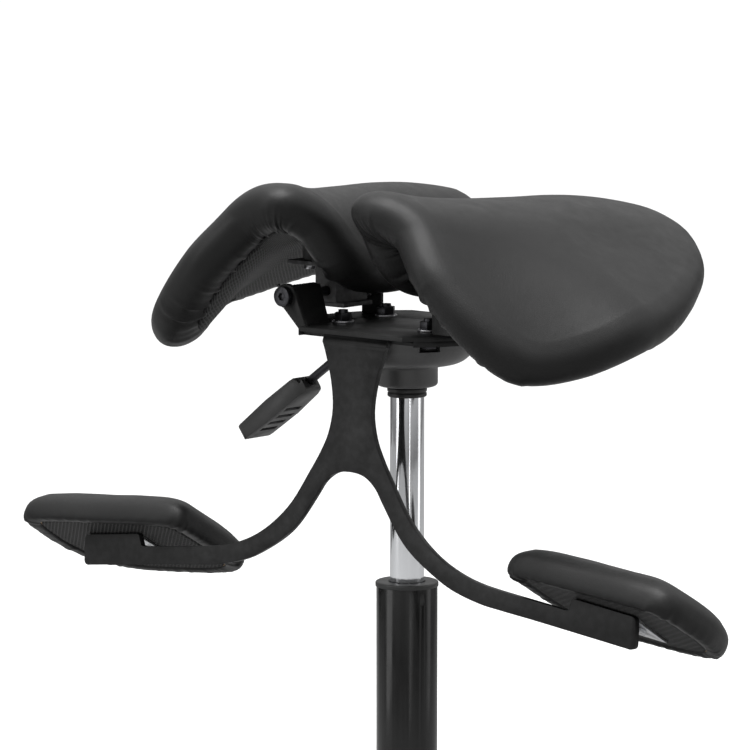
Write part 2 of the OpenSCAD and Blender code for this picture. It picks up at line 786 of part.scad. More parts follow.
module bracket_half() {
  difference() {
    union() {
      // mounting plate under the shell
      translate([72, -24, mount_z]) cube([36, 92, 3.5]);
      // bosses up to the shell
      for (i = [0 : len(seat_fix) - 1]) translate([screw_ends[i][0], screw_ends[i][1], mount_z])
        cylinder(r = 6, h = boss_tops[i] - mount_z);
      // riser and hinge block
      translate([hinge_x - 4, block_y, hinge_z]) cube([16, block_l, mount_z - hinge_z + 1]);
      translate([hinge_x - 10, block_y, hinge_z - 9]) cube([22, block_l, 18]);
      // spring rest
      translate([hinge_x - 17, -17, hinge_z - 13]) cube([26, 36, 3.5]);
      translate([hinge_x - 10, -17, hinge_z - 12]) cube([4, 36, 8]);
    }
    translate([hinge_x, 0, hinge_z]) forward_rod(pin_r + 0.05, 100, 200);
    fix_holes(3.2);
  }
}

module screws_half() {
  head_h = 3.6;
  for (end = screw_ends) translate([end[0], end[1], mount_z]) {
    translate([0, 0, -head_h]) cylinder(r = 5, h = head_h);
    translate([0, 0, -0.1]) cylinder(r = 3, h = end[2] - mount_z + 0.1);
  }
}

module seat_cushion_left() { color("black") cushion_half(); }
module seat_cushion_right() { color("black") on_side(-1) cushion_half(); }
module seat_shell_left() { color("burlywood") shell_half(); }
module seat_shell_right() { color("burlywood") on_side(-1) shell_half(); }
module dust_cover_left() { color("dimgray") cover_half(); }
module dust_cover_right() { color("dimgray") on_side(-1) cover_half(); }
module seat_bracket_left() { color("dimgray") bracket_half(); }
module seat_bracket_right() { color("dimgray") on_side(-1) bracket_half(); }
module seat_screws_left() { color("silver") screws_half(); }
module seat_screws_right() { color("silver") on_side(-1) screws_half(); }

star_base();
outer_tube();
guide_bush();
tube_top_ring();
bearing_race_lower();
bearing_balls();
caster_stems();
caster_hood_1();
caster_hood_2();
caster_hood_3();
caster_hood_4();
caster_hood_5();
caster_axles_1();
caster_axles_2();
caster_axles_3();
caster_axles_4();
caster_axles_5();
caster_wheels_1();
caster_wheels_2();
caster_wheels_3();
caster_wheels_4();
caster_wheels_5();
piston_rod();
piston_head();
bearing_race_upper();
rod_clip();
pressure_tube();
tube_end_guide();
retaining_ring();
bell_housing();
knee_frame();
seat_channel();
plate_bolts();
plate_nuts();
plate_washers();
hinge_pin_right();
hinge_pin_left();
hinge_nuts();
lever_pivot_pin();
pad_bracket_right();
pad_bracket_left();
pad_board_right();
pad_board_left();
pad_cushion_right();
pad_cushion_left();
pad_bolts();
pad_screws();
lever_rod();
lever_grip();
valve_pin();
seat_bracket_right();
seat_bracket_left();
seat_shell_right();
seat_shell_left();
seat_cushion_right();
seat_cushion_left();
dust_cover_right();
dust_cover_left();
seat_screws_right();
seat_screws_left();
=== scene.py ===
"""Split-saddle seat with two knee pads on a base with casters, standing on the floor at z = 0.

Metres, +Z up. The saddle halves and the knee pads lie either side of x = 0, with "right" at -X
and "left" at +X. Y runs along the saddle, whose horn rises towards -Y. The CAD pieces get
materials and soft edges; leather, netting and hinge springs are modelled here in millimetres.
"""
import json
import math
import bpy
import bmesh
import numpy as np
from mathutils import Vector, Matrix


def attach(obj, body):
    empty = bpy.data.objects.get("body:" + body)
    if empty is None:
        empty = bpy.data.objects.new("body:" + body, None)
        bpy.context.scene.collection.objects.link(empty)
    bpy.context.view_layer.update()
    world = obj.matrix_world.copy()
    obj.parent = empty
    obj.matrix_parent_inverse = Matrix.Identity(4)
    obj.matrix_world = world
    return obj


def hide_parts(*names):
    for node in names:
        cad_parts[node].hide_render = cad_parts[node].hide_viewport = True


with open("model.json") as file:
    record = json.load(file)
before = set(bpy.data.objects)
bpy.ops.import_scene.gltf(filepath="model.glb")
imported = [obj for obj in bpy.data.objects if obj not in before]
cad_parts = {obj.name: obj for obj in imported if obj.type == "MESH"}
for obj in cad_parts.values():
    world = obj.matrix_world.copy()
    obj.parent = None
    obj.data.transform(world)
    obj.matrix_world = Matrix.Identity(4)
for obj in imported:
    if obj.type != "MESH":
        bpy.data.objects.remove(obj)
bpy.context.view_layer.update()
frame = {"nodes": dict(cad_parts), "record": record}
scene = bpy.context.scene
nodes = frame["nodes"]

MM = 1000  # millimetres in a metre

# ------------------------------------------------------------------ shader node helpers

NOISE_BAND = (0.3, 0.7)  # where most noise values lie


class Shader:
    """A material with a Principled surface, and short calls that add nodes to it."""

    def __init__(self, name):
        self.material = bpy.data.materials.new(name)
        self.material.use_nodes = True
        self.tree = self.material.node_tree
        self.tree.nodes.clear()
        output = self.add("ShaderNodeOutputMaterial")
        self.surface = self.add("ShaderNodeBsdfPrincipled")
        self.feed(output.inputs[0], self.surface.outputs[0])

    def add(self, kind, **settings):
        node = self.tree.nodes.new(kind)
        for key, value in settings.items():
            setattr(node, key, value)
        return node

    def feed(self, socket, value):
        """Set an input to a constant, or link another node's output to it."""
        if isinstance(value, (int, float, tuple)):
            socket.default_value = value
        else:
            self.tree.links.new(value, socket)

    def coords(self, scale=(1, 1, 1), weave=False, turn=0.0):
        """Object coordinates, or the mesh's own "weave" coordinates turned about Z."""
        if weave:
            source = self.add("ShaderNodeAttribute", attribute_name="weave").outputs["Vector"]
        else:
            source = self.add("ShaderNodeTexCoord").outputs["Object"]
        mapping = self.add("ShaderNodeMapping")
        mapping.inputs["Scale"].default_value = scale
        mapping.inputs["Rotation"].default_value = (0, 0, turn)
        self.feed(mapping.inputs[0], source)
        return mapping.outputs[0]

    def noise(self, vector, scale, detail=3, rough=0.5, output="Fac"):
        node = self.add("ShaderNodeTexNoise")
        node.inputs["Scale"].default_value = scale
        node.inputs["Detail"].default_value = detail
        node.inputs["Roughness"].default_value = rough
        self.feed(node.inputs["Vector"], vector)
        return node.outputs[output]

    def voronoi(self, vector, scale, feature="F1"):
        node = self.add("ShaderNodeTexVoronoi", feature=feature)
        node.inputs["Scale"].default_value = scale
        self.feed(node.inputs["Vector"], vector)
        return node.outputs["Distance"]

    def ramp(self, value, stops):
        """Colour ramp; each stop is (position, grey or RGB)."""
        node = self.add("ShaderNodeValToRGB")
        elements = node.color_ramp.elements
        while len(elements) < len(stops):
            elements.new(0.5)
        for element, (position, color) in zip(elements, stops):
            element.position = position
            element.color = (*color, 1) if isinstance(color, tuple) else (color,) * 3 + (1,)
        self.feed(node.inputs[0], value)
        return node.outputs[0]

    def remap(self, value, to, source=(0.0, 1.0)):
        node = self.add("ShaderNodeMapRange")
        for i, limit in enumerate((*source, *to), start=1):
            node.inputs[i].default_value = limit
        self.feed(node.inputs[0], value)
        return node.outputs[0]

    def calc(self, operation, *values):
        node = self.add("ShaderNodeMath", operation=operation)
        for socket, value in zip(node.inputs, values):
            self.feed(socket, value)
        return node.outputs[0]

    def mix(self, factor, a, b, blend="MIX"):
        node = self.add("ShaderNodeMix", data_type="RGBA", blend_type=blend)
        for i, value in ((0, factor), (6, a), (7, b)):  # the factor and colour sockets
            self.feed(node.inputs[i], value)
        return node.outputs[2]

    def bump(self, height, strength, distance, under=None):
        node = self.add("ShaderNodeBump")
        node.inputs["Strength"].default_value = strength
        node.inputs["Distance"].default_value = distance
        self.feed(node.inputs["Height"], height)
        if under is not None:
            self.feed(node.inputs["Normal"], under)
        return node.outputs[0]

    def finish(self, **inputs):
        """Feed the Principled inputs, named with underscores, and return the material."""
        for key, value in inputs.items():
            self.feed(self.surface.inputs[key.replace("_", " ")], value)
        return self.material


# ------------------------------------------------------------------ materials


def leather(name, tone, rough):
    """Cells with creases between them, pores, and broad soft unevenness; the colour is darkened in
    the creases as painted shade.
    """
    s = Shader(name)
    v = s.coords()
    warp = s.add("ShaderNodeVectorMath", operation="ADD")
    shift = s.add("ShaderNodeVectorMath", operation="SCALE")
    shift.inputs["Scale"].default_value = 0.0012
    s.feed(shift.inputs[0], s.noise(v, scale=90, detail=2, output="Color"))
    s.feed(warp.inputs[0], v)
    s.feed(warp.inputs[1], shift.outputs[0])
    cells = s.voronoi(warp.outputs[0], scale=780, feature="DISTANCE_TO_EDGE")
    grain = s.ramp(cells, [(0.0, 0.0), (0.11, 0.85), (0.5, 1.0)])
    normal = s.bump(s.noise(v, scale=26), strength=0.35, distance=0.0012)
    fine = s.noise(v, scale=210, detail=4, rough=0.6)
    normal = s.bump(fine, strength=0.22, distance=0.00022, under=normal)
    normal = s.bump(grain, strength=0.5, distance=0.00011, under=normal)
    pores = s.voronoi(v, scale=1500)
    normal = s.bump(pores, strength=0.15, distance=0.00006, under=normal)
    cloud = s.noise(v, scale=14, detail=4)
    # the grain ramp darkens the colour in the creases between the cells: painted shade
    color = s.mix(factor=0.55, blend="MULTIPLY",
                  a=s.ramp(cloud, [(0.3, tone * 0.8), (0.75, tone * 1.3)]),
                  b=s.ramp(grain, [(0.0, 0.45), (0.7, 1.0)]))
    patches = s.noise(v, scale=60, detail=5, rough=0.6)
    roughness = s.calc("ADD", s.remap(patches, to=(rough - 0.05, rough + 0.07), source=NOISE_BAND),
                       s.remap(grain, to=(0.07, 0.0)))  # creases are duller
    return s.finish(Base_Color=color, Roughness=roughness, Normal=normal,
                    Specular_IOR_Level=0.21, Coat_Weight=0.02, Coat_Roughness=0.25)


def powder(name, tone, rough, bump=0.25, scale=1500, wear=0.35, spec=0.2):
    """Powder coat, worn paler along the edges."""
    s = Shader(name)
    v = s.coords()
    coarse = s.noise(v, scale=scale * 0.35, detail=2)
    normal = s.bump(coarse, strength=bump * 0.6, distance=0.00012)
    normal = s.bump(s.noise(v, scale=scale, detail=2), strength=bump, distance=0.00005,
                    under=normal)
    pointiness = s.add("ShaderNodeNewGeometry").outputs["Pointiness"]
    edge = s.ramp(pointiness, [(0.5, 0.0), (0.58, 1.0)])
    patchy = s.remap(s.noise(v, scale=160, detail=4), to=(0.0, wear), source=(0.42, 0.62))
    cloud = s.noise(v, scale=30, detail=4)
    color = s.mix(factor=s.calc("MULTIPLY", edge, patchy),
                  a=s.ramp(cloud, [(0.3, tone * 0.88), (0.7, tone * 1.12)]),
                  b=(tone * 3.2, tone * 3.2, tone * 3.3, 1))
    roughness = s.remap(s.noise(v, scale=45, detail=5, rough=0.6),
                        to=(rough - 0.05, rough + 0.07), source=NOISE_BAND)
    return s.finish(Base_Color=color, Roughness=roughness, Normal=normal, Specular_IOR_Level=spec)


def metal(name, tone, rough, streak, blotch=0.0, drawn=False):
    """Bare metal; drawn metal is streaked along Z."""
    s = Shader(name)
    v = s.coords(scale=(900, 900, 6) if drawn else (420, 420, 420))
    streaks = s.noise(v, scale=1.0, rough=0.6)
    cloud = s.noise(s.coords(), scale=120, detail=4, rough=0.6)
    stain = (tone[0] * 0.7, tone[1] * 0.68, tone[2] * 0.6, 1)
    color = s.mix(factor=s.remap(cloud, to=(0.0, blotch), source=NOISE_BAND),
                  a=(*tone, 1), b=stain)
    roughness = s.calc("ADD", s.remap(streaks, to=(rough - 0.04, rough + 0.06), source=NOISE_BAND),
                       s.remap(cloud, to=(-0.02, 0.04), source=NOISE_BAND))
    return s.finish(Base_Color=color, Metallic=1.0, Roughness=roughness,
                    Normal=s.bump(streaks, strength=streak, distance=0.00003))


def plastic(name, tone, rough, scale=900, bump=0.3):
    """Moulded plastic with a fine texture."""
    s = Shader(name)
    v = s.coords()
    normal = s.bump(s.voronoi(v, scale=scale), strength=bump, distance=0.00006)
    normal = s.bump(s.noise(v, scale=35, detail=2), strength=0.1, distance=0.0004, under=normal)
    roughness = s.remap(s.noise(v, scale=70, detail=5, rough=0.6),
                        to=(rough - 0.06, rough + 0.08), source=NOISE_BAND)
    color = s.ramp(s.noise(v, scale=22), [(0.3, tone * 0.88), (0.7, tone * 1.15)])
    return s.finish(Base_Color=color, Roughness=roughness, Normal=normal)


def wood(name):
    s = Shader(name)
    grain = s.noise(s.coords(scale=(40, 6, 300)), scale=3, detail=6, rough=0.6)
    color = s.ramp(grain, [(0.3, (0.30, 0.19, 0.10)), (0.7, (0.52, 0.38, 0.23))])
    return s.finish(Base_Color=color, Roughness=0.65,
                    Normal=s.bump(grain, strength=0.2, distance=0.0002))


def netting(name, pitch=0.0030):
    """Open knitted mesh; the yarns run diagonally. Its colour is near black in the hollows between
    the yarns as painted shade, and paler on the yarn crests as painted highlight.
    """
    s = Shader(name)
    wave = 2 * math.pi / pitch
    split = s.add("ShaderNodeSeparateXYZ")
    s.feed(split.inputs[0], s.coords(weave=True, turn=math.radians(38)))
    sway = s.remap(s.noise(s.coords(weave=True), scale=120, detail=2), to=(-0.7, 0.7))
    ribs = s.calc("SINE", s.calc("ADD", s.calc("MULTIPLY", split.outputs[0], wave), sway))
    ties = s.calc("SINE", s.calc("MULTIPLY", split.outputs[1], wave * 0.55))
    ribs = s.remap(ribs, to=(0.0, 1.0), source=(-1, 1))
    ties = s.remap(ties, to=(0.0, 1.0), source=(-1, 1))
    height = s.calc("MAXIMUM", ribs, s.calc("MULTIPLY", ties, 0.75))
    normal = s.bump(height, strength=0.9, distance=0.0005)
    fuzz = s.noise(s.coords(), scale=1500, detail=2)
    normal = s.bump(fuzz, strength=0.3, distance=0.0001, under=normal)
    # colour follows the knit height: painted shade near black in the hollows, painted highlight on
    # the yarn crests
    color = s.ramp(height, [(0.3, 0.001), (0.65, 0.008), (1.0, 0.05)])
    return s.finish(Base_Color=color, Roughness=0.62, Normal=normal, Sheen_Weight=0.04,
                    Sheen_Roughness=0.5, Specular_IOR_Level=0.12)


# keyed by the CAD material slot, or by piece where no slot fits
MATERIALS = {
    "leather": leather("leather_black", tone=0.008, rough=0.38),
    "pad_leather": leather("leather_black_pads", tone=0.008, rough=0.40),
    "frame_black": powder("powder_coat_black", tone=0.011, rough=0.40, wear=0.2),
    "bell": powder("bell_satin_black", tone=0.065, rough=0.42, bump=0.2, spec=0.5),
    "tube": powder("outer_tube_satin", tone=0.005, rough=0.20, bump=0.08, scale=700, wear=0.15,
                   spec=0.4),
    "base_black": powder("base_powder_coat", tone=0.014, rough=0.40, spec=0.35),
    "bracket_grey": powder("bracket_grey_coat", tone=0.085, rough=0.42),
    "chrome": metal("hard_chrome", tone=(0.80, 0.81, 0.83), rough=0.10, streak=0.05, drawn=True),
    "zinc": metal("zinc_plate", tone=(0.62, 0.63, 0.65), rough=0.30, streak=0.3, blotch=0.25),
    "steel": metal("turned_steel", tone=(0.52, 0.52, 0.54), rough=0.32, streak=0.3, blotch=0.1,
                   drawn=True),
    "fastener_black": metal("black_oxide", tone=(0.055, 0.055, 0.06), rough=0.38, streak=0.35,
                            blotch=0.2),
    "spring": metal("spring_steel", tone=(0.10, 0.10, 0.105), rough=0.34, streak=0.2, blotch=0.2),
    "bush_plastic": plastic("bush_plastic", tone=0.014, rough=0.45),
    "grip_plastic": plastic("grip_plastic", tone=0.022, rough=0.42, scale=700, bump=0.2),
    # spare: no piece wears the grey grip
    "grip_grey": plastic("grip_plastic_grey", tone=0.11, rough=0.5, scale=700, bump=0.2),
    "caster_plastic": plastic("caster_nylon", tone=0.02, rough=0.42),
    "caster_tread": plastic("caster_tread", tone=0.03, rough=0.6, scale=500, bump=0.4),
    "shell_plastic": plastic("shell_plastic", tone=0.03, rough=0.55),
    "board_wood": wood("pad_plywood"),
    "mesh_fabric": netting("dust_mesh"),
    # spare: no piece wears the thread
    "thread": plastic("thread_black", tone=0.02, rough=0.6, scale=2500, bump=0.5),
}
MATERIALS["bearing_steel"] = MATERIALS["steel"]

# ------------------------------------------------------------------ CAD pieces

# pieces that don't take their slot's material
PIECE_MATERIAL = {"bell_housing": "bell", "outer_tube": "tube", "retaining_ring": "bush_plastic",
                  "lever_rod": "fastener_black"}
EDGE_BEVEL = 0.0004
PIECE_BEVEL = {"bearing_balls": 0, "plate_nuts": 0.0003, "plate_washers": 0.0002,
               "pad_bolts": 0.0003}
slot_of = {part["node"]: part["material_slot"] for part in frame["record"]["subparts"]}


def finish_cad(name, bevel):
    """Give a CAD piece its material, a small bevel and smooth shading."""
    piece = nodes[name]
    piece.data.materials.clear()
    piece.data.materials.append(MATERIALS[PIECE_MATERIAL.get(name, slot_of[name])])
    if bevel:
        weld = piece.modifiers.new("weld", "WELD")
        weld.merge_threshold = 0.00002
        edge = piece.modifiers.new("edge", "BEVEL")
        edge.width = bevel
        edge.segments = 2
        edge.limit_method = "ANGLE"
        edge.angle_limit = math.radians(38)
        edge.use_clamp_overlap = True
        edge.harden_normals = True
    for face in piece.data.polygons:
        face.use_smooth = True


for node_name in nodes:
    finish_cad(node_name, PIECE_BEVEL.get(node_name, EDGE_BEVEL))

# ------------------------------------------------------------------ mesh helpers


def mesh_object(name, verts, faces, material, smooth=True, weave=None):
    mesh = bpy.data.meshes.new(name)
    mesh.from_pydata([tuple(v) for v in verts], [], [tuple(f) for f in faces])
    mesh.update()
    if weave is not None:
        attribute = mesh.attributes.new("weave", "FLOAT_VECTOR", "POINT")
        attribute.data.foreach_set("vector", [c for v in weave for c in (v[0], v[1], 0.0)])
    obj = bpy.data.objects.new(name, mesh)
    scene.collection.objects.link(obj)
    mesh.materials.append(material)
    for face in mesh.polygons:
        face.use_smooth = smooth
    return obj


def even_normals(obj):
    bm = bmesh.new()
    bm.from_mesh(obj.data)
    bmesh.ops.recalc_face_normals(bm, faces=bm.faces)
    bm.to_mesh(obj.data)
    bm.free()


def thicken(obj, thickness):
    solid = obj.modifiers.new("cloth_thickness", "SOLIDIFY")
    solid.thickness = thickness
    solid.offset = 0


def flipped(faces):
    return [tuple(reversed(face)) for face in faces]


def ring_faces(count, rings, first=0):
    """Quads between successive closed rings of count points each."""
    faces = []
    for j in range(rings - 1):
        for i in range(count):
            a = first + j * count + i
            b = first + j * count + (i + 1) % count
            faces.append((a, b, b + count, a + count))
    return faces


def capped_rings(centre, rings, down=False):
    """Rings closed in the middle by a fan to the centre point; down turns the faces over."""
    count = len(rings[0])
    fan = [(0, 1 + i, 1 + (i + 1) % count) for i in range(count)]
    quads = ring_faces(count, len(rings), first=1)
    if down:
        fan = [(a, c, b) for a, b, c in fan]
        quads = flipped(quads)
    return np.vstack([[centre], *rings]), fan + quads


def catmull_rom(a, b, c, d, u):
    return 0.5 * (2 * b + (c - a) * u + (2 * a - 5 * b + 4 * c - d) * u * u
                  + (3 * b - a - 3 * c + d) * u ** 3)


def outline(corners, count, steps=16):
    """Smooth closed curve through the corners as count even points, and its length."""
    corners = np.array(corners, float)
    total = len(corners)
    curve = []
    for i in range(total):
        a, b, c, d = (corners[(i + k) % total] for k in (-1, 0, 1, 2))
        curve += [catmull_rom(a, b, c, d, k / steps) for k in range(steps)]
    curve = np.array(curve + curve[:1])
    lengths = np.linalg.norm(np.diff(curve, axis=0), axis=1)
    along = np.concatenate([[0], np.cumsum(lengths)])
    even = np.linspace(0, along[-1], count, endpoint=False)
    return np.stack([np.interp(even, along, curve[:, k]) for k in (0, 1)], 1), along[-1]


def unit(vectors):
    return vectors / (np.linalg.norm(vectors, axis=-1, keepdims=True) + 1e-9)


# ------------------------------------------------------------------ upholstery folds


def wander(x, y, seed):
    """Smooth, repeatable unevenness, about -1 to 1."""
    return (np.sin(x * 0.031 + 1.3 + seed) * np.cos(y * 0.027 + 0.4 * seed)
            + 0.5 * np.sin(x * 0.071 + y * 0.053 + 2.1 * seed)
            + 0.25 * np.sin(x * 0.13 - y * 0.11 + 3.7 + seed)) / 1.75


def folds(arc, length, seed, closest, farthest, weight):
    """Pulled folds along a closed edge: ridge height, and how far up each reaches (0 to 1)."""
    rng = np.random.default_rng(seed)
    height = np.zeros_like(arc)
    reach = np.zeros_like(arc)
    at = rng.uniform(0, closest)
    while at < length - closest * 0.5:
        size = rng.uniform(0.25, 1.0) * weight[int(at / length * len(arc)) % len(arc)]
        width = rng.uniform(1.7, 3.6)
        away = (arc - at + length / 2) % length - length / 2
        ridge = np.exp(-(away / width) ** 2)
        groove = np.exp(-((away - 1.9 * width) / (1.1 * width)) ** 2)
        height += size * (ridge - 0.55 * groove)
        reach += size * rng.uniform(0.4, 1.0) * np.exp(-(away / (width * 2.2)) ** 2)
        at += rng.uniform(closest, farthest)
    return height, np.clip(reach, 0, 1)


def onset(wrap, reach, start, lift, span, power):
    """How far a fold has grown at a given wrap; its reach lets it start earlier."""
    return np.clip((wrap - start + lift * reach) / span, 0, 1) ** power


def turning(curve, half_width):
    """How sharply a closed curve turns at each point, smoothed, 0 to 1."""
    tangent = np.roll(curve, -1, 0) - np.roll(curve, 1, 0)
    bend = np.abs(np.gradient(np.unwrap(np.arctan2(tangent[:, 1], tangent[:, 0]))))
    kernel = np.exp(-np.linspace(-2, 2, 2 * half_width + 1) ** 2)
    wrapped = np.concatenate([bend[-half_width:], bend, bend[:half_width]])
    bend = np.convolve(wrapped, kernel / kernel.sum(), "valid")
    return np.clip(bend / np.percentile(bend, 92), 0, 1)


# ------------------------------------------------------------------ saddle halves (millimetres)
# The +X half lies on a curved sheet: s runs across from the crest line, t along Y.

CREST, HORN = 667.5, 23.5        # crest height, and the horn's rise above it
CREST_X, CREST_SWING = 91.4, 50.4  # crest's distance from x = 0, and its pull-in at t = -104
OUTER_RADIUS, OUTER_ANGLE = (89, 47), (46.1, -14.4)  # value at -Y, and its change towards +Y
INNER_RADIUS, INNER_ANGLE = (47.2, 6), 66.7
THICK = 38.0                     # cushion thickness

# (s, t) round the edge of the seat
SEAT_CORNERS = [
    [68, -113], [137, -125.3], [199, -109], [209, -60], [200, 1.5], [182, 51.7],
    [153, 103], [114.5, 153], [67.6, 184], [9.4, 185], [-52, 163.5], [-90.6, 119],
    [-104, 57], [-103, -6], [-90, -47], [-51, -79.7], [1, -105]]
SEAT_MID = np.array([40.0, 30.0])
SEAT_COUNT = 420
seat_curve, seat_length = outline(SEAT_CORNERS, SEAT_COUNT)

ROLL_SCALE = 0.855               # outline scale where the rolled edge begins and ends
# leather turned under the cushion: (outline scale, depth beyond THICK)
SEAT_EDGE = [(0.842, 0.2), (0.829, 0.3), (0.818, 0.1), (0.811, -0.8), (0.812, -2.4)]
SEAT_CROWN = 1.6                 # extra rise in the middle of the top
SEAT_COARSE = dict(start=0.70, lift=0.5, span=0.42, power=1.3)
SEAT_FINE = dict(start=0.80, lift=0.30, span=0.28, power=1.2)
NET_SCALE, NET_GAP, NET_SAG = 0.83, 0.2, 1.0


def smooth_step(x):
    x = np.clip(x, 0, 1)
    return x * x * (3 - 2 * x)


def crest_x(t):
    return CREST_X - CREST_SWING * np.exp(-(t + 104) / 96)


def crest_z(t):
    """The horn rises at -Y; past t = 60 the crest falls away."""
    fall = np.where(t > 60, 14 * ((t - 60) / 120) ** 2, 0)
    return CREST + HORN * np.exp(-(t + 110) / 45) - fall


def bow(s, radius, angle):
    """Arc of the given radius and angle in degrees, then straight on: across and up."""
    bent = radius * np.radians(angle)
    cos, sin = np.cos(np.radians(angle)), np.sin(np.radians(angle))
    on_arc = s < bent
    across = np.where(on_arc, radius * np.sin(s / radius), radius * sin + (s - bent) * cos)
    up = np.where(on_arc, -radius * (1 - np.cos(s / radius)),
                  -radius * (1 - cos) - (s - bent) * sin)
    return across, up


def sheet(s, t):
    change = smooth_step((t + 90) / 100)
    outer_x, outer_z = bow(np.abs(s), OUTER_RADIUS[0] + OUTER_RADIUS[1] * change,
                           OUTER_ANGLE[0] + OUTER_ANGLE[1] * change)
    inner_x, inner_z = bow(np.abs(s), INNER_RADIUS[0] + INNER_RADIUS[1] * smooth_step(t / 100),
                           INNER_ANGLE)
    x = crest_x(t) + np.where(s >= 0, outer_x, -inner_x)
    z = crest_z(t) + np.where(s >= 0, outer_z, inner_z)
    return np.stack([x, t, z], -1)


def sheet_normal(s, t, step=2.0):
    normal = np.cross(sheet(s + step, t) - sheet(s - step, t),
                      sheet(s, t + step) - sheet(s, t - step))
    return normal / np.linalg.norm(normal, axis=-1, keepdims=True)


def seat_rings(scales, depths):
    """Scaled outlines sunk below the sheet: their points, sheet normals and (s, t)."""
    points, normals, flat = [], [], []
    for scale, depth in zip(scales, depths):
        st = SEAT_MID + (seat_curve - SEAT_MID) * scale
        normal = sheet_normal(st[:, 0], st[:, 1])
        points.append(sheet(st[:, 0], st[:, 1]) - normal * depth)
        normals.append(normal)
        flat.append(st)
    return np.array(points), np.array(normals), np.array(flat)


def seat_centre(depth):
    return seat_rings([0], [depth])[0][0, 0]


def seat_mesh(name, mirror, verts, faces, material, weave=None):
    if mirror < 0:
        faces = flipped(faces)
    return mesh_object(name, verts / MM * (mirror, 1, 1), faces, material, weave=weave)


def build_seat_leather(name, mirror, seed):
    # (outline scale, depth, wrap): wrap runs from 0 on top to 1 underneath
    profile = [(scale, 0.0, 0.0) for scale in np.linspace(0.04, 0.84, 26)]
    for degrees in np.linspace(0, 180, 23):
        a = math.radians(degrees)
        profile.append((ROLL_SCALE + (1 - ROLL_SCALE) * math.sin(a) ** 0.92,
                        THICK / 2 * (1 - math.cos(a)), degrees / 180))
    profile += [(scale, THICK + beyond, 1.0) for scale, beyond in SEAT_EDGE]
    scales, depths, wraps = np.array(profile).T
    points, normals, flat = seat_rings(scales, depths)
    count = len(profile)

    outward = np.zeros_like(points)
    for j in range(count):
        down_profile = points[min(j + 1, count - 1)] - points[max(j - 1, 0)]
        along_edge = np.roll(points[j], -1, 0) - np.roll(points[j], 1, 0)
        outward[j] = unit(np.cross(down_profile, along_edge))
    if np.mean(np.sum(outward[3] * normals[3], -1)) < 0:
        outward = -outward

    # more folds where the edge turns, and round s = 20 on the -Y edge
    arc = np.linspace(0, seat_length, SEAT_COUNT, endpoint=False)
    arch = np.exp(-((seat_curve[:, 0] - 20) / 34) ** 2) * (seat_curve[:, 1] < -60)
    weight = 0.30 + 0.75 * turning(seat_curve, half_width=7) + 0.5 * arch
    coarse, coarse_reach = folds(arc, seat_length, int(seed * 10) + 3, closest=9.0,
                                 farthest=30.0, weight=weight)
    fine, fine_reach = folds(arc, seat_length, int(seed * 10) + 11, closest=3.6,
                             farthest=8.5, weight=0.15 + 0.5 * weight)
    for j in range(count):
        grown = onset(wraps[j], coarse_reach, **SEAT_COARSE)
        fine_grown = onset(wraps[j], fine_reach, **SEAT_FINE)
        lift = (SEAT_CROWN * (1 - scales[j] ** 3) * (wraps[j] == 0)
                + 0.35 * wander(flat[j][:, 0], flat[j][:, 1], seed)
                + 3.2 * grown * coarse + 1.4 * fine_grown * fine - 0.5 * grown)
        points[j] += outward[j] * lift[:, None]
        if j >= count - len(SEAT_EDGE):
            # the turned-under edge is cut unevenly
            inward = unit(points[j] - points[count - len(SEAT_EDGE) - 4])
            stray = 1.1 * wander(arc * 2.2, arc * 0.7, seed + 3) + 0.5 * coarse
            points[j] += inward * stray[:, None]
    verts, faces = capped_rings(seat_centre(-SEAT_CROWN), points)
    obj = seat_mesh(name, mirror, verts, faces, MATERIALS["leather"])
    even_normals(obj)
    return obj


def build_seat_net(name, mirror, seed):
    """Netting under the cushion, sagging a little in the middle."""
    scales = np.linspace(0.03, NET_SCALE, 26)
    depths = THICK + NET_GAP + NET_SAG * (1 - (scales / NET_SCALE) ** 2)
    points, normals, flat = seat_rings(scales, depths)
    points -= normals * 0.5 * wander(flat[..., 0] * 1.4, flat[..., 1] * 1.4, seed + 5)[..., None]
    verts, faces = capped_rings(seat_centre(THICK + NET_GAP + NET_SAG), points, down=True)
    obj = seat_mesh(name, mirror, verts, faces, MATERIALS["mesh_fabric"],
                    weave=np.vstack([[SEAT_MID], *flat]) / MM)
    thicken(obj, 0.0007)
    return obj


for side, mirror, seed in (("right", -1, 2.3), ("left", 1, 0.7)):
    body = "seat_half_" + side
    cover = build_seat_leather("saddle_leather_" + side, mirror, seed)
    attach(cover, body)
    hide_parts("seat_cushion_" + side)
    net = build_seat_net("saddle_net_" + side, mirror, 0.3 * mirror)
    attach(net, body)
    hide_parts("dust_cover_" + side)

# ------------------------------------------------------------------ knee pads (millimetres)
# Modelled flat round the origin, then placed by pad_matrix.

PAD_WIDTH, PAD_LENGTH, PAD_HEIGHT = 172.0, 114.0, 32.0
COVER = 3.0                      # how far the cover stands out all round
PAD_HALF = (PAD_WIDTH / 2 + COVER, PAD_LENGTH / 2 + COVER)
# (x, y) round the edge, as fractions of PAD_HALF
PAD_CORNERS = [
    [-0.55, -1], [0, -1], [0.6, -1], [0.93, -0.88], [1, -0.35], [0.97, 0.2], [0.8, 0.72],
    [0.4, 0.97], [-0.1, 1], [-0.6, 0.96], [-0.92, 0.75], [-1, 0.2], [-0.99, -0.5], [-0.92, -0.92]]
PAD_COUNT = 300
pad_curve, pad_length = outline(np.array(PAD_CORNERS) * PAD_HALF, PAD_COUNT)

PAD_TOP_SCALE = 0.86             # outline scale where the domed top ends
# (outline scale, drop below the top's edge, wrap)
PAD_SHOULDER = [(0.895, 2.2, 0.04), (0.93, 4.4, 0.1), (0.96, 6.9, 0.18), (0.982, 9.6, 0.28),
                (0.995, 12.6, 0.4)]
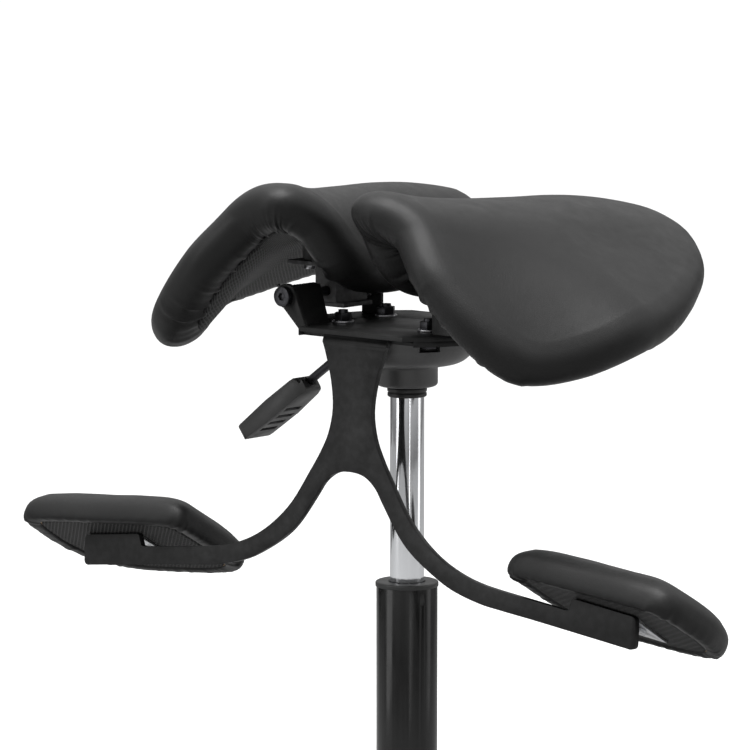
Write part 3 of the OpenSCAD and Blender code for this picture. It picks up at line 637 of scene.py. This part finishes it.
# (outline scale, z, wrap)
PAD_SIDE = [(1.0, 7.6, 0.52), (1.0, 5.0, 0.64), (0.995, 2.4, 0.76), (0.985, 0.2, 0.86),
            (0.968, -1.4, 0.93), (0.945, -2.1, 0.97), (0.915, -2.2, 1.0), (0.885, -2.1, 1.0),
            (0.86, -1.9, 1.0), (0.845, -1.3, 1.0), (0.84, 0.2, 1.0)]
PAD_COARSE = dict(start=0.72, lift=0.5, span=0.5, power=1.3)
PAD_FINE = dict(start=0.80, lift=0.3, span=0.3, power=1.2)
PAD_PLACE = (0.258, -0.0485, 0.3615)  # metres
PAD_TURNS = ((7, "Y"), (-29.5, "X"), (-7, "Z"))  # degrees


def pad_matrix(mirror):
    place = Matrix.Translation(PAD_PLACE)
    for degrees, axis in PAD_TURNS:
        place = place @ Matrix.Rotation(math.radians(degrees), 4, axis)
    return Matrix.Diagonal((mirror, 1, 1, 1)) @ place


def pad_top(scale):
    return PAD_HEIGHT - 14.0 * scale ** 3.4


def placed(verts, mirror):
    matrix = pad_matrix(mirror)
    return [matrix @ Vector(v / MM) for v in verts]


def build_pad_leather(side, mirror, seed):
    profile = [(scale, pad_top(scale), 0.0) for scale in np.linspace(0.04, PAD_TOP_SCALE, 20)]
    rim = pad_top(PAD_TOP_SCALE)
    profile += [(scale, rim - drop, wrap) for scale, drop, wrap in PAD_SHOULDER] + PAD_SIDE
    arc = np.linspace(0, pad_length, PAD_COUNT, endpoint=False)
    weight = 0.35 + 0.65 * turning(pad_curve, half_width=6)
    coarse, coarse_reach = folds(arc, pad_length, int(seed * 10) + 5, closest=7.0,
                                 farthest=24.0, weight=weight)
    fine, fine_reach = folds(arc, pad_length, int(seed * 10) + 17, closest=3.4,
                             farthest=8.0, weight=0.2 + 0.5 * weight)
    rings = []
    for scale, z, wrap in profile:
        xy = pad_curve * scale
        fold = (1.5 * onset(wrap, coarse_reach, **PAD_COARSE) * coarse
                + 0.7 * onset(wrap, fine_reach, **PAD_FINE) * fine)
        # folds stand outwards on the side, downwards underneath
        uneven = 0.4 * wander(xy[:, 0] * 1.5, xy[:, 1] * 1.5, seed) * (1 - wrap)
        height = z + uneven - fold * (0.15 + 0.75 * (wrap > 0.9))
        xy = xy + unit(xy) * (fold * (1.0 if wrap < 0.95 else 0.25))[:, None]
        rings.append(np.column_stack([xy, height]))
    verts, faces = capped_rings((0, 0, PAD_HEIGHT), rings)
    cover = mesh_object("knee_pad_leather_" + side, placed(verts, mirror), faces,
                        MATERIALS["pad_leather"])
    even_normals(cover)
    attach(cover, "carriage")
    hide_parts("pad_cushion_" + side)


def build_pad_net(side, mirror):
    """Netting under the board."""
    rings = [np.column_stack([pad_curve * scale, np.full(PAD_COUNT, -0.35 - 0.3 * (1 - scale))])
             for scale in np.linspace(0.03, 0.83, 14)]
    verts, faces = capped_rings((0, 0, -0.7), rings, down=True)
    if mirror < 0:
        faces = flipped(faces)
    net = mesh_object("knee_pad_net_" + side, placed(verts, mirror), faces,
                      MATERIALS["mesh_fabric"], weave=verts / MM)
    thicken(net, 0.0005)
    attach(net, "carriage")


for side, mirror, seed in (("right", -1, 0.9), ("left", 1, 2.6)):
    build_pad_leather(side, mirror, seed)
    build_pad_net(side, mirror)

# ------------------------------------------------------------------ hinge springs (millimetres)

PIN_X, PIN_Z = -70, 588          # the pin runs along Y
COIL_RADIUS, WIRE_RADIUS = 7.2, 1.35
# name, y from, y to, turns, start angle in degrees, lengths of the straight legs
SPRINGS = [("long", -63.4, -33.5, 8, 200, 12, 14),
           ("short", 23.0, 34.5, 3.5, 20, 10, 10)]


def coil(y0, y1, turns, start, leg0, leg1):
    """Helix round the pin with a straight leg at each end."""
    steps = int(turns * 28)
    points = []
    for i in range(steps + 1):
        a = math.radians(start) + 2 * math.pi * turns * i / steps
        points.append((PIN_X + COIL_RADIUS * math.cos(a), y0 + (y1 - y0) * i / steps,
                       PIN_Z + COIL_RADIUS * math.sin(a)))
    points = np.array(points)
    back = points[0] - points[1]
    back /= np.linalg.norm(back)
    on = points[-1] - points[-2]
    on /= np.linalg.norm(on)
    first = [points[0] + back * leg0 * k / 6 for k in range(6, 0, -1)]
    last = [points[-1] + on * leg1 * k / 6 for k in range(1, 7)]
    return np.array(first + list(points) + last)


def sweep_wire(name, path, sides=10):
    tangents = np.gradient(path, axis=0)
    tangents /= np.linalg.norm(tangents, axis=1, keepdims=True)
    up = np.cross(tangents[0], [0.31, 0.2, 0.93])  # any direction off the first tangent
    verts = []
    for point, tangent in zip(path, tangents):
        up = up - tangent * np.dot(up, tangent)
        up /= np.linalg.norm(up)
        across = np.cross(tangent, up)
        for k in range(sides):
            a = 2 * math.pi * k / sides
            verts.append(point + WIRE_RADIUS * (math.cos(a) * up + math.sin(a) * across))
    faces = ring_faces(sides, len(path))
    end = (len(path) - 1) * sides
    faces += [tuple(range(sides))[::-1], tuple(range(end, end + sides))]
    obj = mesh_object(name, np.array(verts) / MM, faces, MATERIALS["spring"])
    even_normals(obj)
    return obj


# the left springs are the right ones turned half round about Z
for side, turn in (("right", 1), ("left", -1)):
    for kind, *shape in SPRINGS:
        spring = sweep_wire("hinge_spring_%s_%s" % (kind, side), coil(*shape) * (turn, turn, 1))
        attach(spring, "carriage")

# ------------------------------------------------------------------ floor and sky

FLOOR_HALF = 60


def floor_material():
    """Pale to the camera, but darker to other rays so it throws little light back."""
    s = Shader("studio_floor")
    pale = s.ramp(s.noise(s.coords(), scale=3, detail=4), [(0.3, 0.87), (0.7, 0.88)])
    camera_ray = s.add("ShaderNodeLightPath").outputs["Is Camera Ray"]
    return s.finish(Base_Color=s.mix(factor=camera_ray, a=(0.30, 0.30, 0.30, 1), b=pale),
                    Roughness=0.8)


floor = mesh_object("floor", [(x * FLOOR_HALF, y * FLOOR_HALF, 0)
                              for x, y in ((-1, -1), (1, -1), (1, 1), (-1, 1))],
                    [(0, 1, 2, 3)], floor_material(), smooth=False)

SKY_LOW, SKY_HIGH = 0.16, 1.75   # strength at the horizon and overhead
BACKDROP = 1.05                  # plain white strength that the camera sees


def build_sky():
    world = bpy.data.worlds.new("studio")
    scene.world = world
    world.use_nodes = True
    tree = world.node_tree
    background = tree.nodes["Background"]
    background.inputs[0].default_value = (1, 1, 1, 1)
    coords = tree.nodes.new("ShaderNodeTexCoord")
    split = tree.nodes.new("ShaderNodeSeparateXYZ")
    strength = tree.nodes.new("ShaderNodeMapRange")
    strength.inputs[3].default_value = SKY_LOW
    strength.inputs[4].default_value = SKY_HIGH
    path = tree.nodes.new("ShaderNodeLightPath")
    choice = tree.nodes.new("ShaderNodeMix")
    choice.data_type = "FLOAT"
    choice.inputs[3].default_value = BACKDROP
    for output, socket in ((coords.outputs["Generated"], split.inputs[0]),
                           (split.outputs["Z"], strength.inputs[0]),
                           (path.outputs["Is Camera Ray"], choice.inputs[0]),
                           (strength.outputs[0], choice.inputs[2]),
                           (choice.outputs[0], background.inputs[1])):
        tree.links.new(output, socket)


build_sky()

# ------------------------------------------------------------------ lights and camera

VIEW_ANGLE = math.radians(40)    # the camera stands at -Y, swung this far towards +X
CAMERA_DISTANCE, CAMERA_HEIGHT = 3.66, 1.015
SENSOR, LENS = 36.0, 216.0       # mm; the lens of the matching level view
DROP, SIDE = 29.04, 1.536        # mm on the sensor that the level view's centre moves
TILT, TURN = math.atan(DROP / LENS), math.atan(SIDE / LENS)
view = Vector((-math.sin(VIEW_ANGLE), math.cos(VIEW_ANGLE), 0))
right = Vector((math.cos(VIEW_ANGLE), math.sin(VIEW_ANGLE), 0))
up = Vector((0, 0, 1))
centre = Vector((0, 0, 0.5))


def area_light(name, place, width, height, watts):
    light = bpy.data.lights.new(name, "AREA")
    light.energy = watts
    light.shape = "RECTANGLE"
    light.size = width
    light.size_y = height
    obj = bpy.data.objects.new(name, light)
    scene.collection.objects.link(obj)
    obj.location = place
    obj.rotation_euler = (centre - place).to_track_quat("-Z", "Y").to_euler()


area_light("key_top", centre + up * 2.2 - view * 0.3 - right * 0.4,
           width=1.6, height=1.6, watts=74)
area_light("strip_left", centre - right * 2.0 - view * 0.6 + up * 0.6,
           width=0.7, height=2.2, watts=9)
area_light("strip_right", centre + right * 2.2 - view * 0.2 + up * 0.5,
           width=0.7, height=2.2, watts=5)
area_light("strip_front", centre - view * 2.6 + right * 0.45 + up * 0.1,
           width=0.16, height=2.0, watts=2.5)

lens = bpy.data.cameras.new("camera")
lens.sensor_width = SENSOR
lens.lens = LENS / math.cos(TILT) ** 1.5
lens.clip_end = 200
camera = bpy.data.objects.new("camera", lens)
scene.collection.objects.link(camera)
camera.location = (CAMERA_DISTANCE * math.sin(VIEW_ANGLE),
                   -CAMERA_DISTANCE * math.cos(VIEW_ANGLE), CAMERA_HEIGHT)
aim = view * math.cos(TURN) - right * math.sin(TURN)
aim = aim * math.cos(TILT) - up * math.sin(TILT)
camera.rotation_euler = aim.to_track_quat("-Z", "Y").to_euler()
scene.camera = camera
scene.view_settings.view_transform = "Standard"
